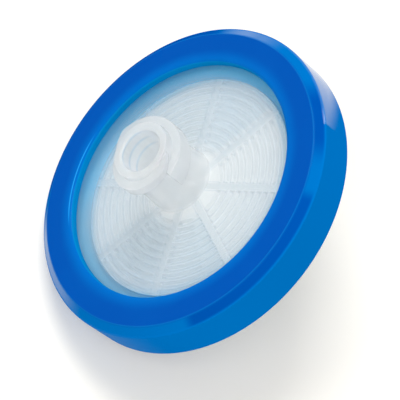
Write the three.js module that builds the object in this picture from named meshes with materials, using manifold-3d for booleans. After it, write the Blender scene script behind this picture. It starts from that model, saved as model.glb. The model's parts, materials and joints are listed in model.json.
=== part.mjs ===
// A disposable syringe filter. Two translucent polypropylene shells clamp a disc membrane, and a
// ring is moulded round their rims. The inlet shell carries a female Luer lock hub, the outlet
// shell a male Luer nozzle. Set down by itself, the filter leans on the ring and the nozzle's tip.
import * as THREE from "three";
import { mergeVertices } from "three/addons/utils/BufferGeometryUtils.js";
import Module from "manifold-3d";

const wasm = await Module();
wasm.setup();

// Lengths are in millimetres and angles in degrees. "Height" runs along the filter's own axis,
// from the middle of the membrane, and is positive towards the inlet.

// Stack at the middle of the filter
const FIT_GAP = 0.1; // between pieces that are pressed or moulded against each other
const MEMBRANE_THICKNESS = 0.15;
const CHAMBER_DEPTH = 0.5; // from a plate to the tips of its ribs
const PLATE_THICKNESS = 1;

// Ring moulded round the shells
const RING_RADIUS = 16.5;
const RING_WALL = 1.4;
const RING_FLANGE = 0.9; // thickness of the ring over each shell
const RING_GRIP = 2.5; // how far the ring reaches in over each shell
const CHAMFER_WIDTH = 0.96;
const CHAMFER_HEIGHT = 0.76;
const LIP_WIDTH = 0.72; // soft edge round the window
const LIP_DROP = 0.3;

// Rims of the shells
const WELD_WALL = 0.8; // wall of the outlet shell that the inlet shell's nose fits into
const WELD_WALL_HEIGHT = 0.5;
const CLAMP_WIDTH = 2.4; // width of the membrane's clamped rim

// Ribs and flow channels inside each shell
const RIB_CLEAR_RADIUS = 3.8; // no rib is smaller than this
const RIB_PITCH = 0.8;
const RIB_WIDTH = 0.45;
const RIB_TIP_WIDTH = 0.3;
const CHANNEL_COUNT = 8;
const CHANNEL_WIDTH = 0.75;
const CHANNEL_ANGLE = 19;
const PORT_RADIUS = 1; // hole from each chamber into its hub or nozzle

// Female Luer lock hub, with the standard 6 % cone and 7.8 mm over its two lugs
const LUER_TAPER = 0.06; // change of diameter over length
const HUB_HEIGHT = 7; // above the shell's face
const HUB_DRAFT = 0.3; // how much the hub narrows, in radius, from its foot to its end
const HUB_MOUTH_RADIUS = 2.15;
const HUB_MOUTH_CHAMFER = 0.2;
const HUB_EDGE = 0.12;
const HUB_FOOT_FILLET = 0.5;
const BORE_FLOOR = 0.5;
const LUG_RADIUS = 3.9;
const LUG_HEIGHT = 0.6; // how far a lug stands out from the hub's foot
const LUG_CREST = 0.45; // length of a lug's outer face at its high end
const LUG_FLANK = 0.5; // length of the slope below it
const LUG_SETBACK = 0.1; // from the hub's end to a lug's high end
const LUG_TOP_LEAD = 2; // climb of a lug's top in one turn
const THREAD_LEAD = 5; // climb of the underside, which the male thread draws up
const LUG_ARC = 215;
const LUG_TAPER = 38; // angle over which a lug rises out of the hub at its high end
const LUG_ANGLE = -57; // where a lug's low end stands
const LUG_COUNT = 2;

// Male Luer nozzle
const NOZZLE_LENGTH = 9;
const NOZZLE_TIP_RADIUS = 1.98;
const NOZZLE_EDGE = 0.2;
const BOSS_RADIUS = 3.2;
const BOSS_HEIGHT = 1.3;
const BOSS_EDGE = 0.25;

// Facets
const BODY_SIDES = 64; // both side counts are multiples of 4, so that flats face +X and -X
const RIB_SIDES = 32;
const LUG_STEPS = 24;
const ARC_STEPS = 3;
const JOIN_DEPTH = 0.2; // how far a rib or lug sinks into the body that it grows from
const WELD_DISTANCE = 1e-4; // vertices closer than this are one

// Sizes that follow from the ones above
const LAND_HEIGHT = MEMBRANE_THICKNESS / 2 + FIT_GAP;
const CEILING_HEIGHT = LAND_HEIGHT + CHAMBER_DEPTH;
const SHELL_FACE = CEILING_HEIGHT + PLATE_THICKNESS;
const RING_SEAT = SHELL_FACE + FIT_GAP;
const RING_FACE = RING_SEAT + RING_FLANGE;
const RING_FACE_RADIUS = RING_RADIUS - CHAMFER_WIDTH;
const RING_SEAT_RADIUS = RING_RADIUS - RING_WALL;
const SHELL_RADIUS = RING_SEAT_RADIUS - FIT_GAP;
const WINDOW_RADIUS = SHELL_RADIUS - RING_GRIP;
const WELD_RADIUS = SHELL_RADIUS - WELD_WALL;
const NOSE_RADIUS = WELD_RADIUS - FIT_GAP;
const MEMBRANE_RADIUS = NOSE_RADIUS - FIT_GAP;
const CHAMBER_RADIUS = MEMBRANE_RADIUS - CLAMP_WIDTH;
const HUB_RADIUS = LUG_RADIUS - LUG_HEIGHT;
const HUB_END_RADIUS = HUB_RADIUS - HUB_DRAFT;
const HUB_END = SHELL_FACE + HUB_HEIGHT;
const BORE_FLOOR_HEIGHT = CEILING_HEIGHT + BORE_FLOOR;
const BORE_FLOOR_RADIUS = HUB_MOUTH_RADIUS - coneGrowth(HUB_END - BORE_FLOOR_HEIGHT);
const BOSS_FACE = SHELL_FACE + BOSS_HEIGHT;
const NOZZLE_END = BOSS_FACE + NOZZLE_LENGTH;
const NOZZLE_END_RADIUS = NOZZLE_TIP_RADIUS - NOZZLE_EDGE;
const NOZZLE_ROOT_RADIUS = NOZZLE_TIP_RADIUS + coneGrowth(NOZZLE_LENGTH);

// How much a Luer cone's radius grows over a length.
function coneGrowth(length) {
  return (LUER_TAPER / 2) * length;
}

// Turns an outline of (radius, height) round the filter's axis. Flats, not corners, face +X and -X.
function turned(outline, sides) {
  const points = outline.getPoints(ARC_STEPS);
  const lathe = new THREE.LatheGeometry(points, sides, Math.PI / sides);
  return lathe.rotateX(Math.PI / 2);
}

// Starts an outline at the first corner and runs straight through the rest.
function outlineThrough(corners) {
  const outline = new THREE.Path();
  outline.moveTo(...corners[0]);
  corners.slice(1).forEach((corner) => outline.lineTo(...corner));
  return outline;
}

// A closed geometry as a manifold-3d solid.
function solidOf(geometry) {
  geometry.deleteAttribute("normal");
  geometry.deleteAttribute("uv");
  const merged = mergeVertices(geometry, WELD_DISTANCE);
  const vertProperties = merged.attributes.position.array;
  const triVerts = new Uint32Array(merged.index.array);
  return new wasm.Manifold(new wasm.Mesh({ numProp: 3, vertProperties, triVerts }));
}

// A manifold-3d solid as a geometry.
function geometryOf(solid) {
  const { vertProperties, triVerts } = solid.getMesh();
  const geometry = new THREE.BufferGeometry();
  geometry.setAttribute("position", new THREE.BufferAttribute(vertProperties, 3));
  geometry.setIndex(new THREE.BufferAttribute(triVerts, 1));
  geometry.computeVertexNormals();
  return geometry;
}

// The ring: a C-shaped section, open towards the axis, that holds both shells' rims.
function overmouldRing() {
  const wallHeight = RING_FACE - CHAMFER_HEIGHT;
  const lipHeight = RING_FACE - LIP_DROP;
  const creaseRadius = WINDOW_RADIUS + LIP_WIDTH;
  const outline = outlineThrough([
    [WINDOW_RADIUS, -RING_SEAT],
    [WINDOW_RADIUS, -lipHeight],
  ]);
  outline.quadraticCurveTo(WINDOW_RADIUS, -RING_FACE, creaseRadius, -RING_FACE);
  outline.lineTo(RING_FACE_RADIUS, -RING_FACE);
  outline.lineTo(RING_RADIUS, -wallHeight);
  outline.lineTo(RING_RADIUS, wallHeight);
  outline.lineTo(RING_FACE_RADIUS, RING_FACE);
  outline.lineTo(creaseRadius, RING_FACE);
  outline.quadraticCurveTo(WINDOW_RADIUS, RING_FACE, WINDOW_RADIUS, lipHeight);
  outline.lineTo(WINDOW_RADIUS, RING_SEAT);
  outline.lineTo(RING_SEAT_RADIUS, RING_SEAT);
  outline.lineTo(RING_SEAT_RADIUS, -RING_SEAT);
  outline.closePath();
  return turned(outline, BODY_SIDES);
}

// One rib: a ring of wedge section, from inside the plate down to the plane of the shell's land.
function rib(radius) {
  const root = RIB_WIDTH / 2;
  const tip = RIB_TIP_WIDTH / 2;
  const outline = outlineThrough([
    [radius - tip, LAND_HEIGHT],
    [radius + tip, LAND_HEIGHT],
    [radius + root, CEILING_HEIGHT],
    [radius + root, CEILING_HEIGHT + JOIN_DEPTH],
    [radius - root, CEILING_HEIGHT + JOIN_DEPTH],
    [radius - root, CEILING_HEIGHT],
  ]);
  outline.closePath();
  return solidOf(turned(outline, RIB_SIDES));
}

// A straight slot right across the ribs, which opens two channels from the rim to the port.
function channelPair(angle) {
  const height = 2 * (CHAMBER_DEPTH + JOIN_DEPTH);
  const slot = new THREE.BoxGeometry(2 * CHAMBER_RADIUS, CHANNEL_WIDTH, height);
  slot.rotateZ(THREE.MathUtils.degToRad(angle));
  slot.translate(0, 0, CEILING_HEIGHT);
  return solidOf(slot);
}

// The concentric ribs of one shell, from the chamber's wall inwards, cut by the channels that run
// out from its port.
function ribs() {
  let radius = CHAMBER_RADIUS - RIB_PITCH / 2;
  let pattern = rib(radius);
  while (radius - RIB_PITCH >= RIB_CLEAR_RADIUS) {
    radius -= RIB_PITCH;
    pattern = pattern.add(rib(radius));
  }
  for (let i = 0; i < CHANNEL_COUNT / 2; i++) {
    pattern = pattern.subtract(channelPair(CHANNEL_ANGLE + (360 / CHANNEL_COUNT) * i));
  }
  return pattern;
}

// A thread lug: a tapered section wound round the hub. Its top climbs gently and its underside at
// the thread's lead, so it is tallest at its low end, and at its high end it runs out into the hub.
// The section's own x is height below the top, its y is radius and the extrusion's length is the
// angle in radians.
function threadLug(startAngle) {
  const rootRadius = HUB_END_RADIUS - JOIN_DEPTH;
  const rootHeight = -LUG_CREST - LUG_FLANK;
  const section = new THREE.Shape();
  section.moveTo(rootHeight, rootRadius);
  section.lineTo(0, rootRadius);
  section.lineTo(0, LUG_RADIUS);
  section.lineTo(-LUG_CREST, LUG_RADIUS);
  section.lineTo(rootHeight, HUB_END_RADIUS);
  section.closePath();
  const arc = THREE.MathUtils.degToRad(LUG_ARC);
  const taper = THREE.MathUtils.degToRad(LUG_TAPER);
  const strip = new THREE.ExtrudeGeometry(section, { depth: arc, steps: LUG_STEPS, bevelEnabled: false });
  const topHeight = HUB_END - LUG_SETBACK;
  const start = THREE.MathUtils.degToRad(startAngle);
  const place = strip.attributes.position;
  for (let i = 0; i < place.count; i++) {
    const height = place.getX(i);
    const swept = place.getZ(i);
    const behind = arc - swept;
    const risen = Math.min(behind / taper, 1);
    const crestRadius = THREE.MathUtils.lerp(HUB_END_RADIUS - JOIN_DEPTH / 2, LUG_RADIUS, risen);
    const reach = (place.getY(i) - rootRadius) / (LUG_RADIUS - rootRadius);
    const radius = THREE.MathUtils.lerp(rootRadius, crestRadius, reach);
    const underside = Math.min(-height / LUG_CREST, 1);
    const lead = THREE.MathUtils.lerp(LUG_TOP_LEAD, THREAD_LEAD, underside);
    const drop = (lead * behind) / (2 * Math.PI);
    const angle = start + swept;
    place.setXYZ(i, radius * Math.cos(angle), radius * Math.sin(angle), topHeight - drop + height);
  }
  return solidOf(strip);
}

// The inlet shell without ribs or lugs: plate, rim with its nose, and the tapered hub.
function inletBody() {
  const hubFootRadius = HUB_RADIUS + HUB_FOOT_FILLET;
  const filletTop = SHELL_FACE + HUB_FOOT_FILLET;
  const outline = outlineThrough([
    [PORT_RADIUS, CEILING_HEIGHT],
    [CHAMBER_RADIUS, CEILING_HEIGHT],
    [CHAMBER_RADIUS, LAND_HEIGHT],
    [NOSE_RADIUS, LAND_HEIGHT],
    [NOSE_RADIUS, WELD_WALL_HEIGHT + FIT_GAP],
    [SHELL_RADIUS, WELD_WALL_HEIGHT + FIT_GAP],
    [SHELL_RADIUS, SHELL_FACE],
    [hubFootRadius, SHELL_FACE],
  ]);
  outline.quadraticCurveTo(HUB_RADIUS, SHELL_FACE, HUB_RADIUS, filletTop);
  outline.lineTo(HUB_END_RADIUS, HUB_END - HUB_EDGE);
  outline.lineTo(HUB_END_RADIUS - HUB_EDGE, HUB_END);
  outline.lineTo(HUB_MOUTH_RADIUS + HUB_MOUTH_CHAMFER, HUB_END);
  outline.lineTo(HUB_MOUTH_RADIUS, HUB_END - HUB_MOUTH_CHAMFER);
  outline.lineTo(BORE_FLOOR_RADIUS, BORE_FLOOR_HEIGHT);
  outline.lineTo(PORT_RADIUS, BORE_FLOOR_HEIGHT);
  outline.closePath();
  return solidOf(turned(outline, BODY_SIDES));
}

// The inlet shell, moulded as one piece.
function inletHousing() {
  let shell = inletBody().add(ribs());
  for (let i = 0; i < LUG_COUNT; i++) {
    shell = shell.add(threadLug(LUG_ANGLE + (360 / LUG_COUNT) * i));
  }
  return geometryOf(shell);
}

// The outlet shell without ribs: plate, rim with its weld wall, boss and nozzle. It is drawn with
// the nozzle up, and turned over with the ribs.
function outletBody() {
  const wallEnd = -WELD_WALL_HEIGHT;
  const outline = outlineThrough([
    [PORT_RADIUS, CEILING_HEIGHT],
    [CHAMBER_RADIUS, CEILING_HEIGHT],
    [CHAMBER_RADIUS, LAND_HEIGHT],
    [WELD_RADIUS, LAND_HEIGHT],
    [WELD_RADIUS, wallEnd],
    [SHELL_RADIUS, wallEnd],
    [SHELL_RADIUS, SHELL_FACE],
    [BOSS_RADIUS, SHELL_FACE],
    [BOSS_RADIUS, BOSS_FACE - BOSS_EDGE],
    [BOSS_RADIUS - BOSS_EDGE, BOSS_FACE],
    [NOZZLE_ROOT_RADIUS, BOSS_FACE],
    [NOZZLE_TIP_RADIUS, NOZZLE_END - NOZZLE_EDGE],
    [NOZZLE_END_RADIUS, NOZZLE_END],
    [PORT_RADIUS, NOZZLE_END],
  ]);
  outline.closePath();
  return solidOf(turned(outline, BODY_SIDES));
}

// The outlet shell, moulded as one piece. The half turn about X brings the nozzle underneath and
// mirrors the channels' angle, so the ribs are turned back to stand over the inlet shell's own.
function outletHousing() {
  const pattern = geometryOf(ribs()).rotateZ(THREE.MathUtils.degToRad(-2 * CHANNEL_ANGLE));
  const shell = outletBody().add(solidOf(pattern));
  return geometryOf(shell).rotateX(Math.PI);
}

// The membrane: a plain disc.
function membrane() {
  const outline = outlineThrough([
    [0, -MEMBRANE_THICKNESS / 2],
    [MEMBRANE_RADIUS, -MEMBRANE_THICKNESS / 2],
    [MEMBRANE_RADIUS, MEMBRANE_THICKNESS / 2],
    [0, MEMBRANE_THICKNESS / 2],
  ]);
  return turned(outline, BODY_SIDES);
}

const translucentShell = { color: 0xd9dfe4, roughness: 0.35, metalness: 0, transparent: true, opacity: 0.7 };
const blueRing = { color: 0x0059bb, roughness: 0.3, metalness: 0 };
const whiteMembrane = { color: 0xf2f2ef, roughness: 0.9, metalness: 0 };

// A named piece with a material of its own.
function piece(name, geometry, finish) {
  const mesh = new THREE.Mesh(geometry, new THREE.MeshStandardMaterial(finish));
  mesh.name = name;
  return mesh;
}

const filter = new THREE.Group();
filter.add(piece("overmould_ring", overmouldRing(), blueRing));
filter.add(piece("inlet_housing", inletHousing(), translucentShell));
filter.add(piece("membrane", membrane(), whiteMembrane));
filter.add(piece("outlet_housing", outletHousing(), translucentShell));

// At rest the ring's lower face edge and the nozzle's end touch the surface, on the same side of
// the axis. The origin is on that surface, under the middle of the ring, and the inlet leans to -X.
const tilt = Math.atan((NOZZLE_END - RING_FACE) / (RING_FACE_RADIUS - NOZZLE_END_RADIUS));
filter.rotation.y = -tilt;
filter.position.z = RING_FACE_RADIUS * Math.sin(tilt) + RING_FACE * Math.cos(tilt);

const syringeFilter = new THREE.Group();
syringeFilter.add(filter);

export default syringeFilter;
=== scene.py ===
"""Looks of a disposable syringe filter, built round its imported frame.

The filter is a blue ring moulded round two translucent shells that clamp a membrane. Every length
on it is in millimetres in the filter's own frame: Z is its axis, from outlet to inlet, the origin
is the middle of the membrane, and X points to the ring's high side. A surface is worked out there
as whole arrays and then laid down in the frame's metres by one Placement.
"""

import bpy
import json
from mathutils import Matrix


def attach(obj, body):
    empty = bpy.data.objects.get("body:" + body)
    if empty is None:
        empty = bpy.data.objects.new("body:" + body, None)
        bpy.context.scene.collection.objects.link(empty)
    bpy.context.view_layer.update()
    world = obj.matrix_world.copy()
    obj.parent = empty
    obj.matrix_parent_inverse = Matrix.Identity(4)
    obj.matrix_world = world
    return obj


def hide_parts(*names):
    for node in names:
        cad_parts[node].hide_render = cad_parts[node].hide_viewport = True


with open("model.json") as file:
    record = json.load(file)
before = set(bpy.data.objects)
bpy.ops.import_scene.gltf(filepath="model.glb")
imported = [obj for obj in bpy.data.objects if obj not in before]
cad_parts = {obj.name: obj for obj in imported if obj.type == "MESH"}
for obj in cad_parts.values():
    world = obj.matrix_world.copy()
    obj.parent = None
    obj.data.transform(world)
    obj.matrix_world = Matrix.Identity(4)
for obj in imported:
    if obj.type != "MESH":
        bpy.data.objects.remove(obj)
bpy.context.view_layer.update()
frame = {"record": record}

import json
import logging
import math
from dataclasses import dataclass
from enum import Enum
from typing import Any, Callable, Mapping, Sequence

import bmesh
import bpy
import numpy as np
from mathutils import Matrix, Vector

log = logging.getLogger("syringe_filter")

MM = 0.001
TURN = 2 * math.pi
BODY = "root"
Colour = tuple[float, float, float, float]
Run = tuple[float, float, float]  # start, length and soft ends of an arc round the axis, in degrees
Edge = tuple[float, float]  # where a soft step starts and ends, in millimetres from a place
Settings = Mapping[str, Any]
Inputs = Mapping[str | int, Any]
WHITE: Colour = (1.0, 1.0, 1.0, 1.0)
POLYPROPYLENE_IOR = 1.49


# ------------------------------ placement


@dataclass(frozen=True)
class Placement:
    """Where the filter lies in the row frame.

    Attributes:
        centre: the middle of the membrane, in metres.
        tilt: how far the axis leans from upright towards -X, in radians.
    """

    centre: tuple[float, float, float]
    tilt: float

    @classmethod
    def from_record(cls, record: Mapping[str, Any]) -> "Placement":
        """Reads the lie of the filter from the record's flat faces.

        Args:
            record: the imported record.

        Returns:
            The placement that the CAD solids have.
        """
        mounts = {mount["name"]: mount for mount in record["mounts"]}
        upper = mounts["ring_inlet_side"]["pos_m"]
        lower = mounts["ring_outlet_side"]["pos_m"]
        lean = mounts["inlet_face"]["axis"]
        centre = ((upper[0] + lower[0]) / 2, 0.0, (upper[2] + lower[2]) / 2)
        return cls(centre, math.atan2(-lean[0], lean[2]))

    @property
    def turn(self) -> Matrix:
        """The rotation from the filter's frame to the row frame."""
        return Matrix.Rotation(-self.tilt, 3, "Y")

    def world(self, points: np.ndarray) -> np.ndarray:
        """Filter points in millimetres, as row frame points in metres.

        Args:
            points: an array whose last axis is x, y, z.

        Returns:
            An array of the same shape: turn @ point * MM + centre.
        """
        return points @ np.array(self.turn).T * MM + np.array(self.centre)


# ------------------------------ surfaces


class Layout(Enum):
    """How the columns of a turned grid are spread round the axis."""

    EVEN = 0
    CHANNELS = 1


@dataclass(frozen=True)
class Corner:
    """A corner of a turned section.

    Attributes:
        radius: distance from the axis.
        height: height along the axis.
        cut: how far from the corner its rounding starts.
        layout: how the columns are spread here.
        rib: whether the corner belongs to a rib, which the channels interrupt.
        lead: on a thread lug, how far the corner climbs in one turn; elsewhere 0.
        reach: how far past the corner its rounding ends; 0 means as far as the cut.
    """

    radius: float
    height: float
    cut: float = 0.06
    layout: Layout = Layout.EVEN
    rib: bool = False
    lead: float = 0.0
    reach: float = 0.0


@dataclass
class Rows:
    """The rows of a turned grid, one value in each array for each row."""

    radius: np.ndarray
    height: np.ndarray
    layout: np.ndarray
    rib: np.ndarray
    lead: np.ndarray


ROUND_STEPS = 7
RIB_ROUND_STRIDE = 3
GUARD = 0.6  # a guard row lies this share of the cut beyond each rounding, to keep flats flat
SHARP_ANGLE = math.radians(38)
POLE_MERGE_MM = 1e-3


def softened(corners: Sequence[Corner]) -> Rows:
    """Rounds every corner of a closed section.

    A corner C with neighbours to either side becomes the parabola
    (1 - t)^2 A + 2 t (1 - t) C + t^2 B, whose ends A and B lie along its two sides at its cut and
    its reach, with one guard point beyond each end. Ribs keep every third point.

    Args:
        corners: the section's corners in order, with the material on the left.

    Returns:
        The rows of the grid.
    """
    place = np.array([(c.radius, c.height) for c in corners])
    cut = np.array([c.cut for c in corners])[:, None]
    reach = np.array([c.reach or c.cut for c in corners])[:, None]
    before = np.roll(place, 1, axis=0) - place
    after = np.roll(place, -1, axis=0) - place
    before /= np.linalg.norm(before, axis=1)[:, None]
    after /= np.linalg.norm(after, axis=1)[:, None]
    t = np.linspace(0, 1, ROUND_STEPS)[None, :, None]
    start = (place + before * cut)[:, None]
    end = (place + after * reach)[:, None]
    arc = (1 - t) ** 2 * start + 2 * t * (1 - t) * place[:, None] + t**2 * end
    guard_in = (place + before * cut * (1 + GUARD))[:, None]
    guard_out = (place + after * reach * (1 + GUARD))[:, None]
    points = np.concatenate([guard_in, arc, guard_out], axis=1)
    count = points.shape[1]
    rib = np.array([c.rib for c in corners])
    step = np.arange(count)
    inner = (step > 0) & (step < count - 1)
    kept = ~rib[:, None] | (inner & ((step - 1) % RIB_ROUND_STRIDE == 0))[None]

    def spread(values: Sequence[Any]) -> np.ndarray:
        """One value of each corner, repeated for the points that it keeps."""
        return np.repeat(np.array(values)[:, None], count, axis=1)[kept]

    return Rows(
        points[..., 0][kept],
        points[..., 1][kept],
        spread([c.layout.value for c in corners]),
        spread(rib),
        spread([c.lead for c in corners]),
    )


def cylindrical(radius: np.ndarray, angle: np.ndarray, height: np.ndarray) -> np.ndarray:
    """Points (radius cos angle, radius sin angle, height), for arrays that broadcast together."""
    radius, angle, height = np.broadcast_arrays(radius, angle, height)
    return np.stack([radius * np.cos(angle), radius * np.sin(angle), height], axis=-1)


def grid_faces(rows: int, columns: int, closed: bool) -> np.ndarray:
    """Quads of a grid that closes on itself along its columns, and along its rows if asked.

    Args:
        rows: number of rows.
        columns: number of points in a row.
        closed: whether the last row joins the first.

    Returns:
        An array of four vertex numbers for each quad.
    """
    i = np.arange(rows if closed else rows - 1)[:, None]
    j = np.arange(columns)[None, :]
    below = i * columns
    above = ((i + 1) % rows) * columns
    beside = (j + 1) % columns
    quads = np.stack([below + j, below + beside, above + beside, above + j], axis=-1)
    return quads.reshape(-1, 4)


def add_object(name: str, data: bpy.types.ID) -> bpy.types.Object:
    """Makes an object from its data and links it to the scene."""
    made = bpy.data.objects.new(name, data)
    bpy.context.scene.collection.objects.link(made)
    return made


def finish_mesh(piece: bpy.types.Object, merge_mm: float = 0.0) -> None:
    """Closes poles, turns every face outwards and shades the piece smooth between sharp edges.

    Args:
        piece: the object.
        merge_mm: vertices closer than this become one, where a pole needs it.
    """
    work = bmesh.new()
    work.from_mesh(piece.data)
    if merge_mm > 0:
        bmesh.ops.remove_doubles(work, verts=work.verts, dist=merge_mm * MM)
    bmesh.ops.recalc_face_normals(work, faces=work.faces)
    work.to_mesh(piece.data)
    work.free()
    piece.data.shade_smooth()
    piece.data.set_sharp_from_angle(angle=SHARP_ANGLE)


def sheet_mesh(
    name: str, points: np.ndarray, placement: Placement, closed: bool = True
) -> bpy.types.Object:
    """Makes a finished mesh object from a grid of filter points.

    Args:
        name: the object's name.
        points: array of rows, columns and x, y, z, in millimetres.
        placement: where the filter lies.
        closed: whether the last row joins the first; if not, both are poles.

    Returns:
        The object, at the origin, with its place in its mesh.
    """
    rows, columns = points.shape[:2]
    vertices = placement.world(points.reshape(-1, 3))
    mesh = bpy.data.meshes.new(name)
    mesh.from_pydata(vertices, [], grid_faces(rows, columns, closed))
    mesh.validate()
    mesh.update()
    made = add_object(name, mesh)
    finish_mesh(made, 0.0 if closed else POLE_MERGE_MM)
    return made


def unite(piece: bpy.types.Object, solids: Sequence[bpy.types.Object]) -> None:
    """Joins closed solids to a closed piece, which keeps the union as its mesh.

    Args:
        piece: the object that stays.
        solids: the objects that it takes in, which are removed.
    """
    for solid in solids:
        joint = piece.modifiers.new(solid.name, "BOOLEAN")
        joint.operation = "UNION"
        joint.solver = "MANIFOLD"
        joint.object = solid
    graph = bpy.context.evaluated_depsgraph_get()
    united = bpy.data.meshes.new_from_object(piece.evaluated_get(graph))
    united.name = piece.data.name
    united.materials.clear()
    piece.modifiers.clear()
    piece.data = united
    for solid in solids:
        bpy.data.objects.remove(solid)


# ------------------------------ shader maths


def math_operator(operation: str, reflected: bool = False) -> "Callable[[Value, Value | float], Value]":
    """An operator of Value that makes a Math node.

    Args:
        operation: the node's operation.
        reflected: whether the other operand comes first.

    Returns:
        The operator's method.
    """

    def operate(self: "Value", other: "Value | float") -> "Value":
        """The operation's result."""
        return self.graph.maths(operation, *((other, self) if reflected else (self, other)))

    return operate


class Value:
    """A socket of a node tree, with Python's operators standing for Math nodes."""

    def __init__(self, graph: "Graph", socket: bpy.types.NodeSocket) -> None:
        """Wraps a socket of a graph."""
        self.graph = graph
        self.socket = socket

    __add__ = __radd__ = math_operator("ADD")
    __sub__ = math_operator("SUBTRACT")
    __rsub__ = math_operator("SUBTRACT", reflected=True)
    __mul__ = __rmul__ = math_operator("MULTIPLY")
    __truediv__ = math_operator("DIVIDE")

    def __abs__(self) -> "Value":
        """Size without sign."""
        return self.graph.maths("ABSOLUTE", self)

    def near(self, centre: float, reach: float) -> "Value":
        """A smooth bump that is 1 at a centre and 0 from its reach on."""
        return 1 - abs(self - centre).between(0.0, reach)

    def between(self, low: float, high: float) -> "Value":
        """A smooth step that is 0 up to low and 1 from high on."""
        settings = {"interpolation_type": "SMOOTHSTEP"}
        inputs = {"Value": self, "From Min": low, "From Max": high}
        return self.graph.value("ShaderNodeMapRange", settings, inputs)

    def past(self, place: float, edge: Edge) -> "Value":
        """A smooth step over an edge that is given from a place."""
        return self.between(place + edge[0], place + edge[1])

    def swing(self, size: float) -> "Value":
        """A noise with values round 0.5, made to swing round 0 by the given size."""
        return (self - 0.5) * size


class Graph:
    """One node tree, and the ways in which its nodes are made and joined."""

    def __init__(self, tree: bpy.types.NodeTree, material: bpy.types.Material | None = None) -> None:
        """Empties a tree and takes it over, with the material that it belongs to, if any."""
        self.tree = tree
        self.material = material
        tree.nodes.clear()

    @classmethod
    def of_material(cls, name: str) -> "Graph":
        """The graph of a new material."""
        material = bpy.data.materials.new(name)
        material.use_nodes = True
        return cls(material.node_tree, material)

    def node(
        self, kind: str, settings: Settings | None = None, inputs: Inputs | None = None
    ) -> bpy.types.Node:
        """Makes a node.

        Args:
            kind: its type.
            settings: its properties, which are set first.
            inputs: values or links of its sockets, by name or number.

        Returns:
            The node.
        """
        made = self.tree.nodes.new(kind)
        for key, setting in (settings or {}).items():
            if key == "stops":
                self.fill_ramp(made.color_ramp, setting)
            else:
                setattr(made, key, setting)
        for key, given in (inputs or {}).items():
            if isinstance(given, Value):
                self.tree.links.new(given.socket, made.inputs[key])
            else:
                made.inputs[key].default_value = given
        return made

    @staticmethod
    def fill_ramp(ramp: bpy.types.ColorRamp, stops: Sequence[tuple[float, float]]) -> None:
        """Gives a ramp steps of grey, each from its place up to the next one's.

        Args:
            ramp: the ramp.
            stops: the place and the grey of each step.
        """
        ramp.interpolation = "CONSTANT"
        while len(ramp.elements) < len(stops):
            ramp.elements.new(1.0)
        for element, (place, grey) in zip(ramp.elements, stops):
            element.position = place
            element.color = (grey, grey, grey, 1.0)

    def value(
        self,
        kind: str,
        settings: Settings | None = None,
        inputs: Inputs | None = None,
        output: str | int = 0,
    ) -> Value:
        """Makes a node and wraps one of its outputs."""
        return Value(self, self.node(kind, settings, inputs).outputs[output])

    def maths(self, operation: str, *operands: Value | float) -> Value:
        """A Math node's result for the given operands."""
        return self.value("ShaderNodeMath", {"operation": operation}, dict(enumerate(operands)))

    def blend(self, factor: Value | float, first: Any, second: Any) -> Value:
        """Mixes two colours: the first at factor 0, the second at factor 1."""
        inputs = {0: factor, 6: first, 7: second}
        return self.value("ShaderNodeMix", {"data_type": "RGBA"}, inputs, 2)

    def layered(self, colour: Value, layers: Sequence[tuple[Value, Any]]) -> Value:
        """A colour with others laid over it in order, each with its own share."""
        for share, over in layers:
            colour = self.blend(share, colour, over)
        return colour

    def noise(self, point: Value, scale: float, detail: float = 3.0) -> Value:
        """A noise pattern with values round 0.5."""
        inputs = {"Vector": point, "Scale": scale, "Detail": detail}
        return self.value("ShaderNodeTexNoise", {}, inputs)

    def filter_point(self, placement: Placement) -> Value:
        """Object coordinates brought into the filter's own frame, in millimetres.

        Args:
            placement: where the filter lies.

        Returns:
            The filter point.
        """
        point = self.value("ShaderNodeTexCoord", output="Object")
        inputs = {
            "Vector": point,
            "Location": placement.centre,
            "Rotation": (0.0, -placement.tilt, 0.0),
            "Scale": (MM, MM, MM),
        }
        return self.value("ShaderNodeMapping", {"vector_type": "TEXTURE"}, inputs)

    def part_of(self, point: Value, axis: str) -> Value:
        """One coordinate of a point."""
        return self.value("ShaderNodeSeparateXYZ", {}, {0: point}, axis)

    def axis_distance(self, point: Value) -> Value:
        """Distance of a filter point from the filter's axis."""
        flat = self.value(
            "ShaderNodeVectorMath", {"operation": "MULTIPLY"}, {0: point, 1: (1.0, 1.0, 0.0)}
        )
        return self.value("ShaderNodeVectorMath", {"operation": "LENGTH"}, {0: flat}, "Value")

    def turns(self, point: Value, start: float) -> Value:
        """How far round the axis a filter point lies, as a share of a turn.

        Args:
            point: the filter point.
            start: where the share is 0, in degrees from X.

        Returns:
            The fraction of angle / 360 - start / 360.
        """
        angle = self.maths("ARCTAN2", self.part_of(point, "Y"), self.part_of(point, "X"))
        return self.maths("FRACT", angle / TURN + (1 - start / 360))

    def arc(self, point: Value, run: Run, slant: Value | float = 0.0) -> Value:
        """1 along an arc round the axis and 0 outside it, with soft ends.

        Args:
            point: the filter point.
            run: where the arc starts from X, its length and the length of its soft ends.
            slant: how far the arc is moved back here, as a share of a turn.

        Returns:
            The mask.
        """
        start, length, soft = run
        turns = self.turns(point, start) + slant
        ending = turns.between((length - soft) / 360, length / 360)
        return turns.between(0.0, soft / 360) * (1 - ending)

    def spoke_distance(self, turns: Value, radius: Value, count: int) -> Value:
        """How far round the axis a point lies from the nearest of some even spokes.

        Args:
            turns: how far round the axis it lies from one of them, as a share of a turn.
            radius: its distance from the axis.
            count: number of spokes.

        Returns:
            radius * sector * |fraction of (turns * count + 1/2) - 1/2|, sector being the angle
            between two spokes.
        """
        sector_share = self.maths("FRACT", turns * count + 0.5)
        return abs(sector_share - 0.5) * radius * (TURN / count)

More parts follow.
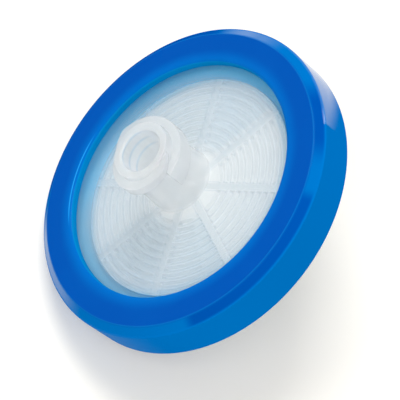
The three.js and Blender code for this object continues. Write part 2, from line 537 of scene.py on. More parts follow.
    def seen(self) -> Value:
        """1 for a ray that shows its surface as it is seen, reflected or looked at through glass."""
        path = self.node("ShaderNodeLightPath")
        camera, glossy, transmission = (
            Value(self, path.outputs[f"Is {kind} Ray"]) for kind in ("Camera", "Glossy", "Transmission")
        )
        return self.maths("MAXIMUM", self.maths("MAXIMUM", camera, glossy), transmission)

    def bump(self, height: Value, strength: float, distance_mm: float) -> Value:
        """A Bump node's normal."""
        inputs = {"Height": height, "Strength": strength, "Distance": distance_mm * MM}
        return self.value("ShaderNodeBump", {}, inputs)

    def principled(self, inputs: Inputs) -> Value:
        """A Principled BSDF."""
        return self.value("ShaderNodeBsdfPrincipled", {}, inputs)

    def shader_mix(self, factor: Value, first: Value, second: Value) -> Value:
        """Mixes two shaders: the first at factor 0, the second at factor 1."""
        return self.value("ShaderNodeMixShader", {}, {0: factor, 1: first, 2: second})

    def surface(self, shader: Value) -> bpy.types.Material:
        """Ends the graph in a shader and returns the material."""
        self.node("ShaderNodeOutputMaterial", {}, {"Surface": shader})
        return self.material


# ------------------------------ the filter


@dataclass(frozen=True)
class Stack:
    """The sizes that the pieces share, so that they seat on each other."""

    gap: float = 0.1
    membrane_thickness: float = 0.15
    chamber_depth: float = 0.5
    plate: float = 1.0
    ring_radius: float = 16.5
    ring_wall: float = 1.4
    ring_flange: float = 0.9
    ring_grip: float = 2.5
    weld_wall: float = 0.8
    weld_height: float = 0.5
    clamp_width: float = 2.4

    @property
    def land(self) -> float:
        """Height of the face that clamps the membrane."""
        return self.membrane_thickness / 2 + self.gap

    @property
    def ceiling(self) -> float:
        """Height of the plate's inner face."""
        return self.land + self.chamber_depth

    @property
    def face(self) -> float:
        """Height of the shell's outer face."""
        return self.ceiling + self.plate

    @property
    def ring_seat(self) -> float:
        """Height of the ring's inner faces over the shells."""
        return self.face + self.gap

    @property
    def ring_face(self) -> float:
        """Height of the ring's flat faces."""
        return self.ring_seat + self.ring_flange

    @property
    def ring_seat_radius(self) -> float:
        """Radius of the ring's inner wall."""
        return self.ring_radius - self.ring_wall

    @property
    def shell_radius(self) -> float:
        """Outer radius of both shells."""
        return self.ring_seat_radius - self.gap

    @property
    def window_radius(self) -> float:
        """Radius of the window in each face of the ring."""
        return self.shell_radius - self.ring_grip

    @property
    def weld_radius(self) -> float:
        """Inner radius of the outlet shell's weld wall."""
        return self.shell_radius - self.weld_wall

    @property
    def nose_radius(self) -> float:
        """Radius of the inlet shell's nose."""
        return self.weld_radius - self.gap

    @property
    def membrane_radius(self) -> float:
        """Radius of the membrane."""
        return self.nose_radius - self.gap

    @property
    def chamber_radius(self) -> float:
        """Radius of the ribbed chamber."""
        return self.membrane_radius - self.clamp_width


@dataclass
class OvermouldRing:
    """The blue ring: a C-shaped section that holds both shells' rims."""

    stack: Stack
    chamfer_width: float = 0.96
    chamfer_height: float = 0.76
    lip_width: float = 0.72
    lip_drop: float = 0.3
    edge: float = 0.07
    seat_edge: float = 0.05
    recess_edge: float = 0.2
    columns: int = 256

    @property
    def face_radius(self) -> float:
        """Radius at which the flat faces end and the chamfers start."""
        return self.stack.ring_radius - self.chamfer_width

    def corners(self) -> list[Corner]:
        """The section's corners, with the material on the left."""
        stack = self.stack
        window = stack.window_radius
        top = stack.ring_face
        upper = [
            Corner(stack.ring_radius, top - self.chamfer_height, self.edge),
            Corner(self.face_radius, top, self.edge),
            Corner(window, top, self.lip_width, reach=self.lip_drop),
            Corner(window, stack.ring_seat, self.seat_edge),
            Corner(stack.ring_seat_radius, stack.ring_seat, self.recess_edge),
        ]
        lower = [Corner(c.radius, -c.height, c.reach or c.cut, reach=c.cut) for c in reversed(upper)]
        return lower + upper

    def build(self, placement: Placement, finish: bpy.types.Material) -> bpy.types.Object:
        """Makes the ring.

        Args:
            placement: where the filter lies.
            finish: its material.

        Returns:
            The piece, dressed.
        """
        rows = softened(self.corners())
        angle = np.arange(self.columns) * TURN / self.columns
        points = cylindrical(rows.radius[:, None], angle[None], rows.height[:, None])
        piece = sheet_mesh("blue_ring", points, placement)
        piece.data.materials.append(finish)
        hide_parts("overmould_ring")
        return piece


@dataclass
class RibbedShell:
    """What both shells share: rim, plate, concentric ribs, radial channels and the Luer taper.

    A shell is drawn with its outside up. Its grid is closed both ways: the rows run along the
    section and the columns round the axis, and a row's layout says where its columns stand.
    """

    stack: Stack
    rib_pitch: float = 0.8
    rib_width: float = 0.45
    rib_tip_width: float = 0.3
    rib_clear_radius: float = 3.8
    rib_edge: float = 0.08
    chamber_edge: float = 0.05
    face_edge: float = 0.3
    channel_count: int = 8
    channel_width: float = 0.75
    channel_angle: float = 19.0
    channel_edge: float = 0.06
    port_radius: float = 1.0
    port_edge: float = 0.08
    taper: float = 0.06
    slot_columns: int = 6
    land_columns: int = 22

    @property
    def columns(self) -> int:
        """Number of points in each row."""
        return self.channel_count * (self.slot_columns + self.land_columns)

    def rib_corners(self) -> list[Corner]:
        """Four corners for each rib, from the innermost rib outwards."""
        stack = self.stack
        outermost = stack.chamber_radius - self.rib_pitch / 2
        count = int((outermost - self.rib_clear_radius) / self.rib_pitch) + 1
        root = self.rib_width / 2
        tip = self.rib_tip_width / 2
        section = [(-root, stack.ceiling), (-tip, stack.land), (tip, stack.land), (root, stack.ceiling)]
        middles = [outermost - self.rib_pitch * i for i in reversed(range(count))]
        return [
            Corner(middle + offset, height, self.rib_edge, Layout.CHANNELS, rib=True)
            for middle in middles
            for offset, height in section
        ]

    def plate_corners(self) -> list[Corner]:
        """The inner face, from the port to the wall of the chamber."""
        stack = self.stack
        return [
            Corner(self.port_radius, stack.ceiling, self.port_edge),
            *self.rib_corners(),
            Corner(stack.chamber_radius, stack.ceiling, self.chamber_edge, Layout.CHANNELS),
            Corner(stack.chamber_radius, stack.land, self.chamber_edge, Layout.CHANNELS),
        ]

    def face_corners(self) -> list[Corner]:
        """The outer face, from the rim to half way in."""
        stack = self.stack
        return [
            Corner(stack.shell_radius, stack.face),
            Corner(stack.chamber_radius, stack.face, self.face_edge),
            Corner(stack.chamber_radius / 2, stack.face, self.face_edge),
        ]

    def channel_angles(self, radius: np.ndarray) -> tuple[np.ndarray, np.ndarray]:
        """Angles of columns that follow the channels' straight sides.

        In each sector the slot's columns lie at a h, with a from -1 to 1, where
        h = asin(width / 2 radius) is the slot's half angle. The land's columns go from h + e to
        the next sector's -h - e, where e is the angle of the rib's steep end.

        Args:
            radius: radius of each row, as a column.

        Returns:
            The angles, and for each column 1 on a land and 0 in a slot.
        """
        across = np.linspace(-1, 1, self.slot_columns)
        along = np.linspace(0, 1, self.land_columns)
        half_share = np.concatenate([across, 1 - 2 * along])
        end_share = np.concatenate([0 * across, 1 - 2 * along])
        sector_share = np.concatenate([0 * across, along])
        land = np.concatenate([0 * across, 1 + 0 * along])
        sector = TURN / self.channel_count
        half = np.arcsin(self.channel_width / (2 * radius))
        end = self.channel_edge / radius
        one = half * half_share[None] + end * end_share[None] + sector * sector_share[None]
        start = math.radians(self.channel_angle) + sector * np.arange(self.channel_count)
        angles = (one[:, None, :] + start[None, :, None]).reshape(len(radius), -1)
        return angles, np.tile(land, self.channel_count)

    def even_angles(self) -> np.ndarray:
        """Angles of evenly spread columns, in step with the channels' first column."""
        return math.radians(self.channel_angle) + TURN * np.arange(self.columns) / self.columns

    def corners(self) -> list[Corner]:
        """The whole section's corners, with the material on the left."""
        raise NotImplementedError

    def grid(self) -> np.ndarray:
        """The shell's points.

        Height is h, except that a rib's height rises back to the ceiling where a channel cuts it:
        ceiling + (h - ceiling) land.

        Returns:
            An array of rows, columns and x, y, z.
        """
        rows = softened(self.corners())
        radius = rows.radius[:, None]
        height = rows.height[:, None]
        cut_angles, land = self.channel_angles(np.maximum(radius, self.rib_clear_radius))
        follows = (rows.layout == Layout.CHANNELS.value)[:, None]
        angle = np.where(follows, cut_angles, self.even_angles()[None])
        ceiling = self.stack.ceiling
        height = np.where(rows.rib[:, None], ceiling + (height - ceiling) * land[None], height)
        return cylindrical(radius, angle, height)


@dataclass
class InletShell(RibbedShell):
    """The upper shell, with its female Luer lock hub."""

    hub_radius: float = 3.3
    hub_height: float = 7.0
    hub_end_radius: float = 3.0
    mouth_radius: float = 2.15
    mouth_chamfer: float = 0.2
    foot_fillet: float = 0.5
    hub_end_edge: float = 0.12
    mouth_edge: float = 0.08
    floor_edge: float = 0.1
    bore_floor: float = 0.5
    lug_radius: float = 3.9
    lug_crest: float = 0.45
    lug_flank: float = 0.5
    lug_setback: float = 0.1
    lug_lean: float = 0.06  # how far a lug's top falls from the hub to its crest
    lug_sink: float = 0.15  # how far a lug's inner side lies inside the hub's end
    lug_root_edge: float = 0.04
    lug_edge: float = 0.1
    lug_top_lead: float = 2.0
    thread_lead: float = 5.0
    lug_arc: float = 215.0
    lug_taper: float = 38.0
    lug_angle: float = -57.0
    lug_count: int = 2
    lug_stations: int = 90
    lug_end: float = 1.2  # angle over which a lug's low end is rounded
    lug_end_shrink: float = 0.12

    @property
    def hub_end(self) -> float:
        """Height of the hub's end face."""
        return self.stack.face + self.hub_height

    def hub_corners(self) -> list[Corner]:
        """The hub's outside, its mouth, the bore and the port."""
        stack = self.stack
        floor = stack.ceiling + self.bore_floor
        floor_radius = self.mouth_radius - self.taper / 2 * (self.hub_end - floor)
        return [
            Corner(self.hub_radius, stack.face, self.foot_fillet),
            Corner(self.hub_end_radius, self.hub_end, self.hub_end_edge),
            Corner(self.mouth_radius + self.mouth_chamfer, self.hub_end, self.mouth_edge),
            Corner(self.mouth_radius, self.hub_end - self.mouth_chamfer, self.mouth_edge),
            Corner(floor_radius, floor, self.floor_edge),
            Corner(self.port_radius, floor, self.port_edge),
        ]

    def corners(self) -> list[Corner]:
        """The whole section's corners, with the material on the left."""
        stack = self.stack
        step = stack.weld_height + stack.gap
        return [
            *self.plate_corners(),
            Corner(stack.nose_radius, stack.land),
            Corner(stack.nose_radius, step),
            Corner(stack.shell_radius, step),
            *self.face_corners(),
            *self.hub_corners(),
        ]

    def lug_corners(self) -> list[Corner]:
        """A lug's section at its high end, with the material on the left."""
        inner = self.hub_end_radius - self.lug_sink
        top = self.hub_end - self.lug_setback
        crest = top - self.lug_crest
        slope = self.lug_flank / (self.lug_radius - self.hub_end_radius)
        root = crest - slope * (self.lug_radius - inner)
        return [
            Corner(inner, root, self.lug_root_edge, lead=self.thread_lead),
            Corner(self.lug_radius, crest, self.lug_edge, lead=self.thread_lead),
            Corner(self.lug_radius, top - self.lug_lean, self.lug_edge, lead=self.lug_top_lead),
            Corner(inner, top, self.lug_root_edge, lead=self.lug_top_lead),
        ]

    def lug(self, index: int, placement: Placement) -> bpy.types.Object:
        """One thread lug, as a closed solid whose inner side lies inside the hub's wall.

        Its stations run from the low end to the high end. At a station b turns behind the high
        end a point of the section lies at z = h - lead b and at r = i + (R - i) w, where i is the
        inner radius and w falls to nothing over the taper. The end stations shrink towards the
        section's middle, which rounds and closes the solid.

        Args:
            index: which lug this is.
            placement: where the filter lies.

        Returns:
            The lug.
        """
        rows = softened(self.lug_corners())
        inner = self.hub_end_radius - self.lug_sink
        along = np.linspace(self.lug_end, self.lug_arc, self.lug_stations)
        swept = np.concatenate([[0, 0], along, [self.lug_arc]])[:, None]
        shrink = np.concatenate([[1, self.lug_end_shrink], 0 * along, [1]])[:, None]
        behind = self.lug_arc - swept
        sunk = self.lug_sink / 2 / (self.lug_radius - inner)
        width = sunk + (1 - sunk) * np.minimum(behind / self.lug_taper, 1)
        radius = inner + (rows.radius[None] - inner) * width
        height = rows.height[None] - rows.lead[None] * behind / 360
        radius = radius + (radius.mean(axis=1, keepdims=True) - radius) * shrink
        height = height + (height.mean(axis=1, keepdims=True) - height) * shrink
        angle = np.radians(self.lug_angle + 360 / self.lug_count * index + swept)
        points = cylindrical(radius, angle, height)
        return sheet_mesh(f"thread_lug_{index}", points, placement, closed=False)

    def build(self, placement: Placement, finish: bpy.types.Material) -> bpy.types.Object:
        """Makes the inlet shell with its lugs.

        Args:
            placement: where the filter lies.
            finish: its material.

        Returns:
            The piece, dressed.
        """
        piece = sheet_mesh("inlet_shell", self.grid(), placement)
        unite(piece, [self.lug(index, placement) for index in range(self.lug_count)])
        finish_mesh(piece)
        piece.data.materials.append(finish)
        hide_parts("inlet_housing")
        return piece


@dataclass
class OutletShell(RibbedShell):
    """The lower shell, with its male Luer nozzle."""

    nozzle_length: float = 9.0
    tip_radius: float = 1.98
    tip_edge: float = 0.2
    boss_radius: float = 3.2
    boss_height: float = 1.3
    boss_edge: float = 0.25
    boss_foot_edge: float = 0.3
    root_edge: float = 0.2
    lumen_edge: float = 0.1

    def corners(self) -> list[Corner]:
        """The whole section's corners, with the material on the left."""
        stack = self.stack
        wall_end = -stack.weld_height
        boss_face = stack.face + self.boss_height
        end = boss_face + self.nozzle_length
        root_radius = self.tip_radius + self.taper / 2 * self.nozzle_length
        return [
            *self.plate_corners(),
            Corner(stack.weld_radius, stack.land),
            Corner(stack.weld_radius, wall_end),
            Corner(stack.shell_radius, wall_end),
            *self.face_corners(),
            Corner(self.boss_radius, stack.face, self.boss_foot_edge),
            Corner(self.boss_radius, boss_face, self.boss_edge),
            Corner(root_radius, boss_face, self.root_edge),
            Corner(self.tip_radius, end, self.tip_edge),
            Corner(self.port_radius, end, self.lumen_edge),
        ]

    def build(self, placement: Placement, finish: bpy.types.Material) -> bpy.types.Object:
        """Makes the outlet shell, turned half round X so that its nozzle points down.

        Args:
            placement: where the filter lies.
            finish: its material.

        Returns:
            The piece, dressed.
        """
        points = self.grid() * np.array([1.0, -1.0, -1.0])
        piece = sheet_mesh("outlet_shell", points, placement)
        piece.data.materials.append(finish)
        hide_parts("outlet_housing")
        return piece


@dataclass
class Membrane:
    """The filter disc between the shells: a flat film with a rounded edge."""

    stack: Stack
    columns: int = 192
    rings: int = 60
    rim_rows: int = 5

    def build(self, placement: Placement, finish: bpy.types.Material) -> bpy.types.Object:
        """Makes the membrane.

        Its half section runs (R s, T) out along the top, round the edge as (R + T sin a, T cos a)
        and back below, where T is half the thickness.

        Args:
            placement: where the filter lies.
            finish: its material.

        Returns:
            The piece, dressed.
        """
        half = self.stack.membrane_thickness / 2
        reach = self.stack.membrane_radius - half
        out = np.linspace(0, 1, self.rings) * reach
        bend = np.linspace(0, math.pi, self.rim_rows)
        radius = np.concatenate([out, reach + half * np.sin(bend[1:-1]), out[::-1]])
        height = np.concatenate([0 * out + half, half * np.cos(bend[1:-1]), 0 * out - half])
        angle = np.arange(self.columns) * TURN / self.columns
        points = cylindrical(radius[:, None], angle[None], height[:, None])
        piece = sheet_mesh("filter_membrane", points, placement, closed=False)
        piece.data.materials.append(finish)
        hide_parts("membrane")
        return piece


# ------------------------------ finishes


@dataclass(frozen=True)
class RingFinish:
    """Glossy blue polypropylene, dark blue on the broad faces and clearer where it is thin.

    The chamfer is painted darker over some arcs round the axis, a painted reflection of dark
    surroundings, and is polished where the mould's halves met. A lighter line along the face's
    outer edge and a light line on one side of the lip are painted highlights. The fade and the lip
    are measured from the window, the chamfer from the flat face's end and the wall from the rim.
    The wall's gloss leans back by its slant, in turns for each millimetre up.
    """

    ring: OvermouldRing
    face: Colour = (0.0, 0.088, 0.45, 1.0)
    inner: Colour = (0.0, 0.15, 0.57, 1.0)
    chamfer: Colour = (0.0, 0.17, 0.56, 1.0)
    wall: Colour = (0.0, 0.178, 0.585, 1.0)
    # Painted reflection: the darker blue laid on some arcs of the chamfer.
    dark_reflection: Colour = (0.0, 0.078, 0.42, 1.0)
    lip: Colour = (0.0, 0.25, 0.61, 1.0)
    # A lighter line along the flat face's outer edge: a painted highlight on its rounding.
    edge: Colour = (0.01, 0.30, 0.70, 1.0)
    # A light line on one side of the lip's rounding: a painted highlight.
    lip_highlight_line: Colour = (0.02, 0.37, 0.88, 1.0)
    dark_reflection_part: float = 0.9
    edge_highlight_part: float = 0.22
    fade_edge: Edge = (0.05, 1.6)
    lip_edge: Edge = (0.0, 0.15)
    chamfer_edge: Edge = (-0.1, 0.2)
    wall_edge: Edge = (-0.25, -0.03)
    line: float = 0.1
    lip_highlight_radius: float = 12.84
    lip_highlight_run: Run = (132.0, 50.0, 12.0)
    # Arcs where the chamfer is painted darker, a painted reflection of dark surroundings.
    dark_reflection_runs: tuple[Run, ...] = ((266.0, 66.0, 5.0), (339.0, 38.0, 12.0), (60.0, 106.0, 10.0))
    cloud_scale: float = 0.25
    cloud_fade: float = 0.4
    cloud_roughness: float = 0.1
    grain_scale: float = 9.0
    grain_roughness: float = 0.06
    grain_strength: float = 0.06
    grain_depth: float = 0.02
    roughness: float = 0.16
    coat_roughness: float = 0.12
    face_coat: float = 0.05
    foot_coat: float = 0.12
    polished_runs: tuple[Run, ...] = ((33.0, 33.0, 14.0), (166.0, 54.0, 16.0))
    wall_run: Run = (-4.0, 60.0, 16.0)
    wall_slant: float = 0.0185
    foot_run: Run = (200.0, 55.0, 20.0)

    def gloss(self, graph: Graph, point: Value, chamfer: Value, wall: Value) -> Value:
        """How much of the surface's coat there is.

        Args:
            graph: the material's graph.
            point: the filter point.
            chamfer: 1 from the chamfer outwards.
            wall: 1 on the wall.

        Returns:
            The coat's weight.
        """
        polished = sum(graph.arc(point, run) for run in self.polished_runs)
        bright = graph.arc(point, self.wall_run, graph.part_of(point, "Z") * self.wall_slant)
        on_wall = bright + graph.arc(point, self.foot_run) * self.foot_coat
        return (1 - chamfer) * self.face_coat + (chamfer - wall) * polished + wall * on_wall

    def build(self, placement: Placement) -> bpy.types.Material:
        """Makes the material.

        Args:
            placement: where the filter lies.

        Returns:
            The material.
        """
        window = self.ring.stack.window_radius
        flat = self.ring.face_radius
        graph = Graph.of_material("ring_blue_polypropylene")
        point = graph.filter_point(placement)
        radius = graph.axis_distance(point)
        cloud = graph.noise(point, self.cloud_scale)
        grain = graph.noise(point, self.grain_scale)
        chamfer = radius.past(flat, self.chamfer_edge)
        wall = radius.past(self.ring.stack.ring_radius, self.wall_edge)
        # The chamfer's arcs that are painted darker: a painted reflection.
        dark_reflection = sum(graph.arc(point, run) for run in self.dark_reflection_runs)
        # The painted highlight line on one side of the lip.
        lip_highlight_line = radius.near(self.lip_highlight_radius, self.line) * graph.arc(point, self.lip_highlight_run)
        outside = radius.past(window, self.fade_edge) + cloud.swing(self.cloud_fade)
        colour = graph.blend(outside, self.inner, self.face)
        layers = [
            (chamfer, self.chamfer),
            (dark_reflection * chamfer * self.dark_reflection_part, self.dark_reflection),
            (wall, self.wall),
            # Painted highlight along the flat face's outer edge.
            (radius.near(flat, self.line) * self.edge_highlight_part, self.edge),
            (1 - radius.past(window, self.lip_edge), self.lip),
            # Painted highlight on the lip.
            (lip_highlight_line, self.lip_highlight_line),
        ]
        swing = cloud.swing(self.cloud_roughness) + grain.swing(self.grain_roughness)
        return graph.surface(
            graph.principled(
                {
                    "Base Color": graph.layered(colour, layers),
                    "Roughness": swing + self.roughness,
                    "IOR": POLYPROPYLENE_IOR,
                    "Specular IOR Level": 0.0,
                    "Coat Weight": self.gloss(graph, point, chamfer, wall),
                    "Coat Roughness": self.coat_roughness,
                    "Normal": graph.bump(grain, self.grain_strength, self.grain_depth),
                }
            )
        )


@dataclass(frozen=True)
class ShellFinish:
    """Milky, translucent natural polypropylene, painted blue near the ring: painted light that the ring's
    blue plastic passes on.

    Milk is mixed with clear plastic, more of it in the hub and the nozzle than in the plates, and
    wax, which scatters light within, takes the milk's place there. The land that the ring grips is
    as blue as the ring's inside, more saturated on one side and paler on another: painted light and
    shade. The sectors between the channels are painted a little lighter or darker, painted shade of
    how the light falls on their ribs, and the shell is painted darker further out from the axis.
    The channels carry painted shade, the rib ends beside them a painted shadow, and the bore's wall
    is painted light with painted light and dark arcs on one side. The hub is measured from the
    plate's outer face and the inside from its inner face, the land and the painted blue light from
    the chamber's radius, the channel shade from the channel's side and the bore from the mouth's
    radius. A rib end's shadow, a glint and a dark arc are a place and a half width.
    """

    shell: InletShell
    milk: Colour = (0.94, 0.985, 1.0, 1.0)
    shade: Colour = (0.60, 0.76, 0.87, 1.0)
    # Painted light: the blue that the ring's plastic passes on to the shell near it.
    painted_ring_light: Colour = (0.42, 0.76, 1.0, 1.0)
    band: Colour = (0.10, 0.66, 1.0, 1.0)
    # Painted light and shade: the land's blue is more saturated on one side and paler on another.
    band_deep: Colour = (0.02, 0.62, 1.0, 1.0)
    band_pale: Colour = (0.22, 0.58, 0.80, 1.0)
    # Painted shadow at the rib ends beside the channels.
    rib_end_shadow: Colour = (0.50, 0.62, 0.72, 1.0)
    # Painted shade in the channels.
    painted_channel_shade: Colour = (0.60, 0.72, 0.80, 1.0)
    hub_shade: Colour = (0.7, 0.9, 0.96, 1.0)
    # Colour of the painted dark arcs in the bore.
    painted_dark_arc: Colour = (0.52, 0.70, 0.86, 1.0)
    clear: Colour = (0.98, 0.995, 1.0, 1.0)
    painted_channel_shade_part: float = 0.9
    rib_end_shadow_part: float = 0.8
    hub_part: float = 0.15
    # How much painted light the bore's wall gets.
    bore_light_part: float = 0.9
    painted_dark_arc_part: float = 0.85
    hub_edge: Edge = (0.05, 0.5)
    inside_edge: Edge = (0.05, 0.1)
    land_edge: Edge = (-0.04, -0.01)
    painted_ring_light_edge: Edge = (-0.6, 0.3)
    painted_channel_shade_edge: Edge = (-0.1, 0.0)
    rib_end_shadow_spot: Edge = (0.08, 0.12)
    bore_edge: Edge = (0.02, 0.06)
    foot_radius: float = 3.0
    sector_radius: float = 5.0
    shade_reach: float = 0.5
    # Painted shade further out from the axis.
    outward_shade: float = 0.3
    sector_shade: float = 0.85
    # Painted shade of each sector, from how the light falls on its ribs.
    sector_shades: tuple[float, ...] = (0.85, 0.6, 0.45, 0.5, 1.0, 0.75, 0.25, 0.15)
    deep_run: Run = (15.0, 120.0, 30.0)
    pale_run: Run = (150.0, 90.0, 25.0)
    bore_run: Run = (60.0, 160.0, 50.0)
    # Depths and half widths of the bore's painted highlights and painted dark arcs.
    glints: tuple[Edge, ...] = ((0.75, 0.34), (2.1, 0.22), (3.0, 0.3))
    painted_dark_arcs: tuple[Edge, ...] = ((0.25, 0.3), (1.35, 0.3), (2.5, 0.3))
    cloud_scale: float = 0.35
    cloud_shade: float = 0.3
    cloud_roughness: float = 0.08
    grain_scale: float = 7.0
    grain_strength: float = 0.05
    grain_depth: float = 0.02
    roughness: float = 0.21
    rib_roughness: float = 0.12
    clear_alpha: float = 0.12
    plate_milk: float = 0.235
    rib_milk: float = 0.32
    hub_milk: float = 0.32
    wax_depth: float = 2.0

    def shaded(self, graph: Graph, turns: Value, radius: Value, hub: Value) -> Value:
        """How much painted shade there is: more further out, and by sector on the plates.

        Args:
            graph: the material's graph.
            turns: how far round the axis the point lies from a channel.
            radius: its distance from the axis.
            hub: 1 on the hub.

        Returns:
            The share of the shade colour.
        """
        count = self.shell.channel_count
        stops = [(i / count, grey) for i, grey in enumerate(self.sector_shades)]
        sector = graph.value("ShaderNodeValToRGB", {"stops": stops}, {0: turns})
        outward = radius.between(self.foot_radius, self.shell.stack.chamber_radius + self.shade_reach)
        plate = (1 - hub) * radius.between(self.foot_radius, self.sector_radius)
        return outward * self.outward_shade + sector * plate * self.sector_shade

    def bore_layers(self, graph: Graph, point: Value, bore: Value) -> list[tuple[Value, Colour]]:
        """The bore's wall painted light, with painted light and dark arcs on one side where it bends
        light.

        Args:
            graph: the material's graph.
            point: the filter point.
            bore: 1 in the bore.

        Returns:
            Each layer's share and colour.
        """
        depth = self.shell.hub_end - abs(graph.part_of(point, "Z"))
        side = bore * graph.arc(point, self.bore_run)
        dark = sum(depth.near(*ring) for ring in self.painted_dark_arcs) * self.painted_dark_arc_part
        light = sum(depth.near(*ring) for ring in self.glints)
        # Painted light on the bore's wall, then painted dark arcs and painted highlights on one side.
        return [(bore * self.bore_light_part, WHITE), (side * dark, self.painted_dark_arc), (side * light, WHITE)]

    def build(self, placement: Placement) -> bpy.types.Material:
        """Makes the material.

        Args:
            placement: where the filter lies.

        Returns:
            The material.
        """
        shell, stack = self.shell, self.shell.stack
        graph = Graph.of_material("shell_natural_polypropylene")
        point = graph.filter_point(placement)
        radius = graph.axis_distance(point)
        level = abs(graph.part_of(point, "Z"))
        cloud = graph.noise(point, self.cloud_scale)
        grain = graph.noise(point, self.grain_scale)
        turns = graph.turns(point, shell.channel_angle)
        from_channel = graph.spoke_distance(turns, radius, shell.channel_count)
        side = shell.channel_width / 2
        rib_end_shadow, rib_end_reach = self.rib_end_shadow_spot
        hub = level.past(stack.face, self.hub_edge)
        inside = 1 - level.past(stack.ceiling, self.inside_edge)
        land = radius.past(stack.chamber_radius, self.land_edge) * inside
        bore = hub * (1 - radius.past(shell.mouth_radius, self.bore_edge))
        # The land's blue with painted light and shade on two sides.
        band = graph.blend(graph.arc(point, self.pale_run), self.band, self.band_pale)
        band = graph.blend(graph.arc(point, self.deep_run), band, self.band_deep)
        shaded = self.shaded(graph, turns, radius, hub) + cloud.swing(self.cloud_shade)
        layers = [
            # Painted blue light near the ring.
            (radius.past(stack.chamber_radius, self.painted_ring_light_edge), self.painted_ring_light),
            # The channels painted darker: painted shade.
            ((1 - from_channel.past(side, self.painted_channel_shade_edge)) * inside * self.painted_channel_shade_part, self.painted_channel_shade),
            # Painted shadow at the rib ends.
            (from_channel.near(side + rib_end_shadow, rib_end_reach) * inside * self.rib_end_shadow_part, self.rib_end_shadow),
            (land, band),
            (hub * self.hub_part, self.hub_shade),
            *self.bore_layers(graph, point, bore),
        ]
        coloured = {
            "Base Color": graph.layered(graph.blend(shaded, self.milk, self.shade), layers),
            "Roughness": cloud.swing(self.cloud_roughness) + inside * self.rib_roughness + self.roughness,
            "IOR": POLYPROPYLENE_IOR,
            "Normal": graph.bump(grain, self.grain_strength, self.grain_depth),
        }
        clearness = {
            "Base Color": self.clear,
            "Transmission Weight": 1.0,
            "Alpha": self.clear_alpha,
        }
        waxiness = {
            "Subsurface Weight": 1.0,
            "Subsurface Radius": (1.0, 1.0, 1.0),
            "Subsurface Scale": self.wax_depth * MM,
        }
        milk = graph.principled(coloured)
        clear = graph.principled(coloured | clearness)
        wax = graph.principled(coloured | waxiness)
        more = inside * (self.rib_milk - self.plate_milk) + hub * (self.hub_milk - self.plate_milk)
        milky = (more + self.plate_milk) * (1 - land) + land
        return graph.surface(graph.shader_mix(milky, clear, graph.shader_mix(hub, milk, wax)))


@dataclass(frozen=True)
class MembraneFinish:
    """Matt white microporous film."""

    white: Colour = (0.94, 0.95, 0.94, 1.0)
    shade: Colour = (0.90, 0.91, 0.90, 1.0)
    fibre_scale: float = 14.0
    fibre_detail: float = 5.0
    fibre_roughness: float = 0.1
    fibre_strength: float = 0.3
    fibre_depth: float = 0.03
    roughness: float = 0.9

    def build(self, placement: Placement) -> bpy.types.Material:
        """Makes the material.

        Args:
            placement: where the filter lies.

        Returns:
            The material.
        """
        graph = Graph.of_material("membrane_film")
        point = graph.filter_point(placement)
        fibre = graph.noise(point, self.fibre_scale, self.fibre_detail)
        return graph.surface(
            graph.principled(
                {
                    "Base Color": graph.blend(fibre, self.shade, self.white),
                    "Roughness": fibre.swing(self.fibre_roughness) + self.roughness,
                    "Normal": graph.bump(fibre, self.fibre_strength, self.fibre_depth),
                }
            )
        )


# ------------------------------ studio


@dataclass(frozen=True)
class Lamp:
    """A square soft lamp, with its place in metres, the length of its side and its power."""

    name: str
    place: tuple[float, float, float]
    size: float
    power: float


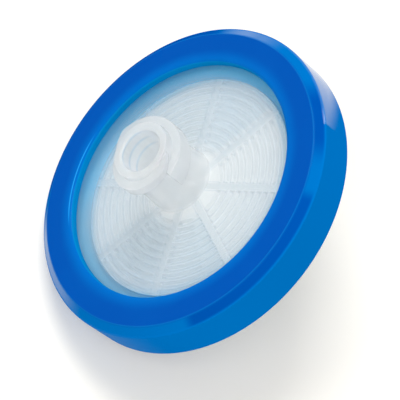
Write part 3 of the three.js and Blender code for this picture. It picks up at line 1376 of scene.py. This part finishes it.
@dataclass
class Studio:
    """Floor, lights and camera."""

    placement: Placement
    azimuth: float = -5.12
    elevation: float = 56.28
    distance_mm: float = 220.0
    shift_right_mm: float = 0.2
    shift_up_mm: float = 0.33
    aim_height_mm: float = -1.92
    lens: float = 202.55
    sensor: float = 36.0
    clip: tuple[float, float] = (0.01, 20.0)
    sky: float = 0.5
    floor_half: float = 2.0
    floor_glow: float = 0.16
    floor_colour: Colour = (0.9, 0.872, 0.8, 1.0)
    lamps: tuple[Lamp, ...] = (
        Lamp("key", (0.03, 0.2, 0.46), 0.24, 1.24),
        Lamp("fill", (-0.05, -0.30, 0.40), 0.35, 0.9),
    )

    def camera(self) -> None:
        """Looks at the filter from the side that its inlet leans away from."""
        a, e = math.radians(self.azimuth), math.radians(self.elevation)
        back = Vector((math.sin(a) * math.cos(e), -math.cos(a) * math.cos(e), math.sin(e)))
        right = Vector((math.cos(a), math.sin(a), 0.0))
        up = back.cross(right)
        aim = Vector(self.placement.world(np.array([0.0, 0.0, self.aim_height_mm])))
        offset = self.shift_right_mm * right + self.shift_up_mm * up - self.distance_mm * back
        data = bpy.data.cameras.new("camera")
        data.lens = self.lens
        data.sensor_width = self.sensor
        data.clip_start, data.clip_end = self.clip
        made = add_object("camera", data)
        turn = Matrix((right, up, back)).transposed().to_4x4()
        made.matrix_world = Matrix.Translation(aim - offset * MM) @ turn
        bpy.context.scene.camera = made

    def floor(self) -> None:
        """A wide white floor that shows white to the camera and keeps the filter's shadow."""
        corners = [(-1, -1, 0), (1, -1, 0), (1, 1, 0), (-1, 1, 0)]
        mesh = bpy.data.meshes.new("floor")
        mesh.from_pydata(np.array(corners) * self.floor_half, [], [(0, 1, 2, 3)])
        graph = Graph.of_material("floor_white")
        inputs = {
            "Base Color": self.floor_colour,
            "Roughness": 1.0,
            "Specular IOR Level": 0.0,
            "Emission Color": WHITE,
            "Emission Strength": graph.seen() * self.floor_glow,
        }
        mesh.materials.append(graph.surface(graph.principled(inputs)))
        add_object("floor", mesh)

    def world(self) -> None:
        """An even sky that the camera and reflections see as white."""
        world = bpy.data.worlds.new("sky")
        bpy.context.scene.world = world
        world.use_nodes = True
        graph = Graph(world.node_tree)
        strength = graph.seen() * (1.0 - self.sky) + self.sky
        shader = graph.value("ShaderNodeBackground", {}, {"Color": WHITE, "Strength": strength})
        graph.node("ShaderNodeOutputWorld", {}, {"Surface": shader})

    def light(self, lamp: Lamp) -> None:
        """Hangs up a lamp that faces the filter.

        Args:
            lamp: the lamp.
        """
        data = bpy.data.lights.new(lamp.name, "AREA")
        data.shape = "SQUARE"
        data.size = lamp.size
        data.energy = lamp.power
        made = add_object(lamp.name, data)
        made.location = lamp.place
        toward = Vector(self.placement.centre) - made.location
        made.rotation_euler = toward.to_track_quat("-Z", "Y").to_euler()

    def build(self) -> None:
        """Makes the whole studio."""
        self.camera()
        self.floor()
        self.world()
        for lamp in self.lamps:
            self.light(lamp)


def main() -> None:
    """Builds the filter piece by piece, and the studio round it."""
    logging.basicConfig(level=logging.INFO, format="%(name)s: %(message)s")
    bpy.context.scene.view_settings.view_transform = "Standard"
    placement = Placement.from_record(frame["record"])
    stack = Stack()
    ring = OvermouldRing(stack)
    inlet = InletShell(stack)
    plastic = ShellFinish(inlet).build(placement)
    parts = [
        (ring, RingFinish(ring).build(placement)),
        (inlet, plastic),
        (Membrane(stack), MembraneFinish().build(placement)),
        (OutletShell(stack), plastic),
    ]
    for part, finish in parts:
        piece = part.build(placement, finish)
        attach(piece, BODY)
        log.info("%s: %d faces", piece.name, len(piece.data.polygons))
    Studio(placement).build()


if __name__ == "__main__":
    main()
